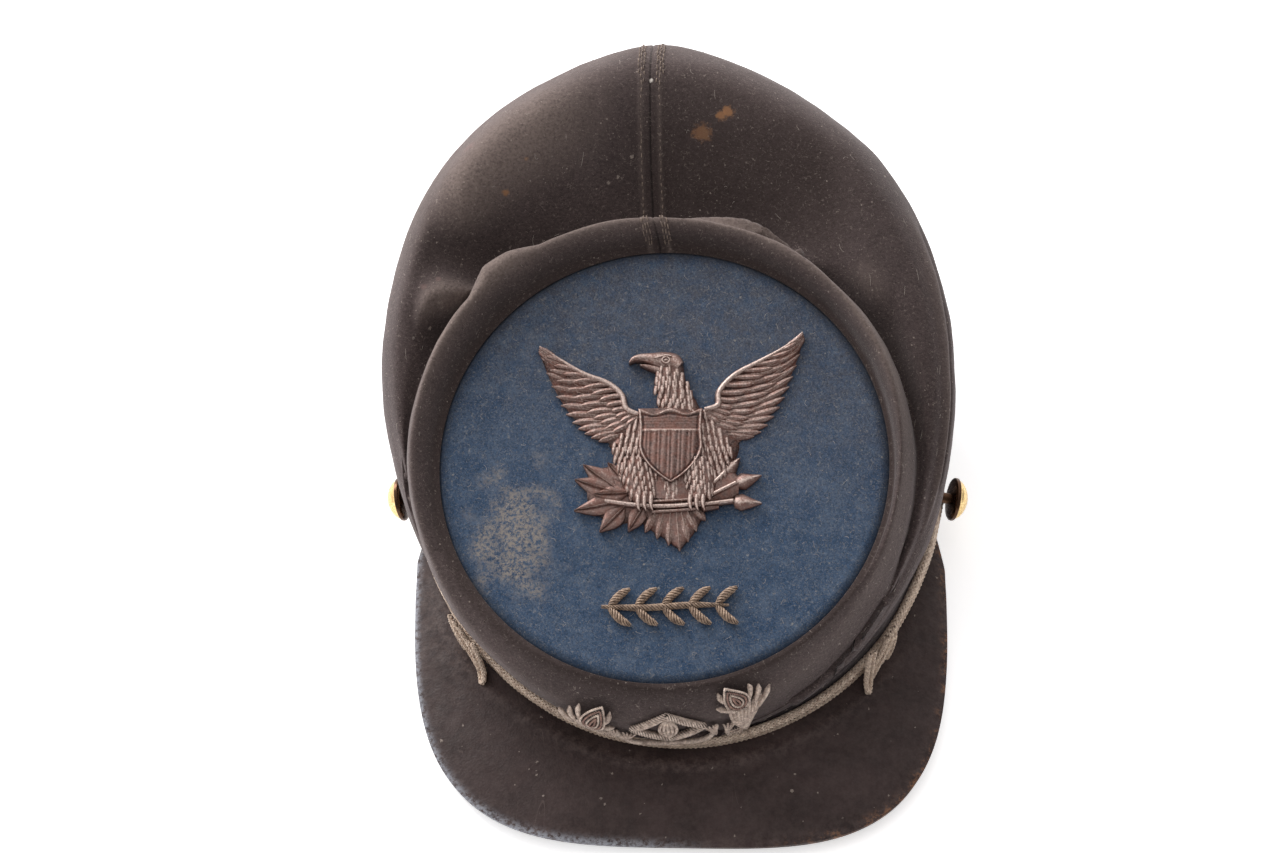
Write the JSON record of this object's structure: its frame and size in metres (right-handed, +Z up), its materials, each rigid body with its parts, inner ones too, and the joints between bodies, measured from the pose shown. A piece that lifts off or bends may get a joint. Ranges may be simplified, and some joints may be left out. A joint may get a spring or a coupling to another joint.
{
  "type": "kepi cap",
  "caption": "Soft cloth kepi with a forward-leaning round top, a swollen back, a leather peak, a doubled chin cord on domed side buttons, a cast eagle and embroidered ornaments.",
  "frame": {"origin": "under the middle of the whole cap, on the surface that it rests on", "axes": "-Y is the front, where the peak points; +X is the right of someone who looks at the front; +Z is up"},
  "size_m": [0.1868, 0.2482, 0.1075],
  "materials": {
    "dark_cloth": "fulled wool broadcloth, faded from dark blue to a warm brown-black, with lint, stains and scuffed folds",
    "band_cloth": "the same wool broadcloth, less faded",
    "disc_cloth": "felted blue wool with a worn pale patch",
    "peak_leather": "dark brown-black glazed leather, scratched and scuffed, with orange wear at its edge",
    "cast_metal": "cast metal with a dull brown-grey patina, brighter on its ridges",
    "bullion_thread": "twisted metal-wrapped thread, tarnished grey-brown",
    "cord_thread": "round braided cord, tarnished grey-tan",
    "button_brass": "gilt brass dome with a darker back"
  },
  "bodies": {
    "root": {"crown": "dark_cloth", "band": "band_cloth", "crown_disc": "disc_cloth", "peak": "peak_leather", "eagle_badge": "cast_metal", "disc_sprig": "bullion_thread", "horn_left": "bullion_thread", "horn_right": "bullion_thread", "front_lozenge": "bullion_thread", "front_scroll": "bullion_thread", "chin_cord": "cord_thread", "slide_left": "cord_thread", "slide_right": "cord_thread", "button_left": "button_brass", "button_right": "button_brass"}
  },
  "joints": []
}
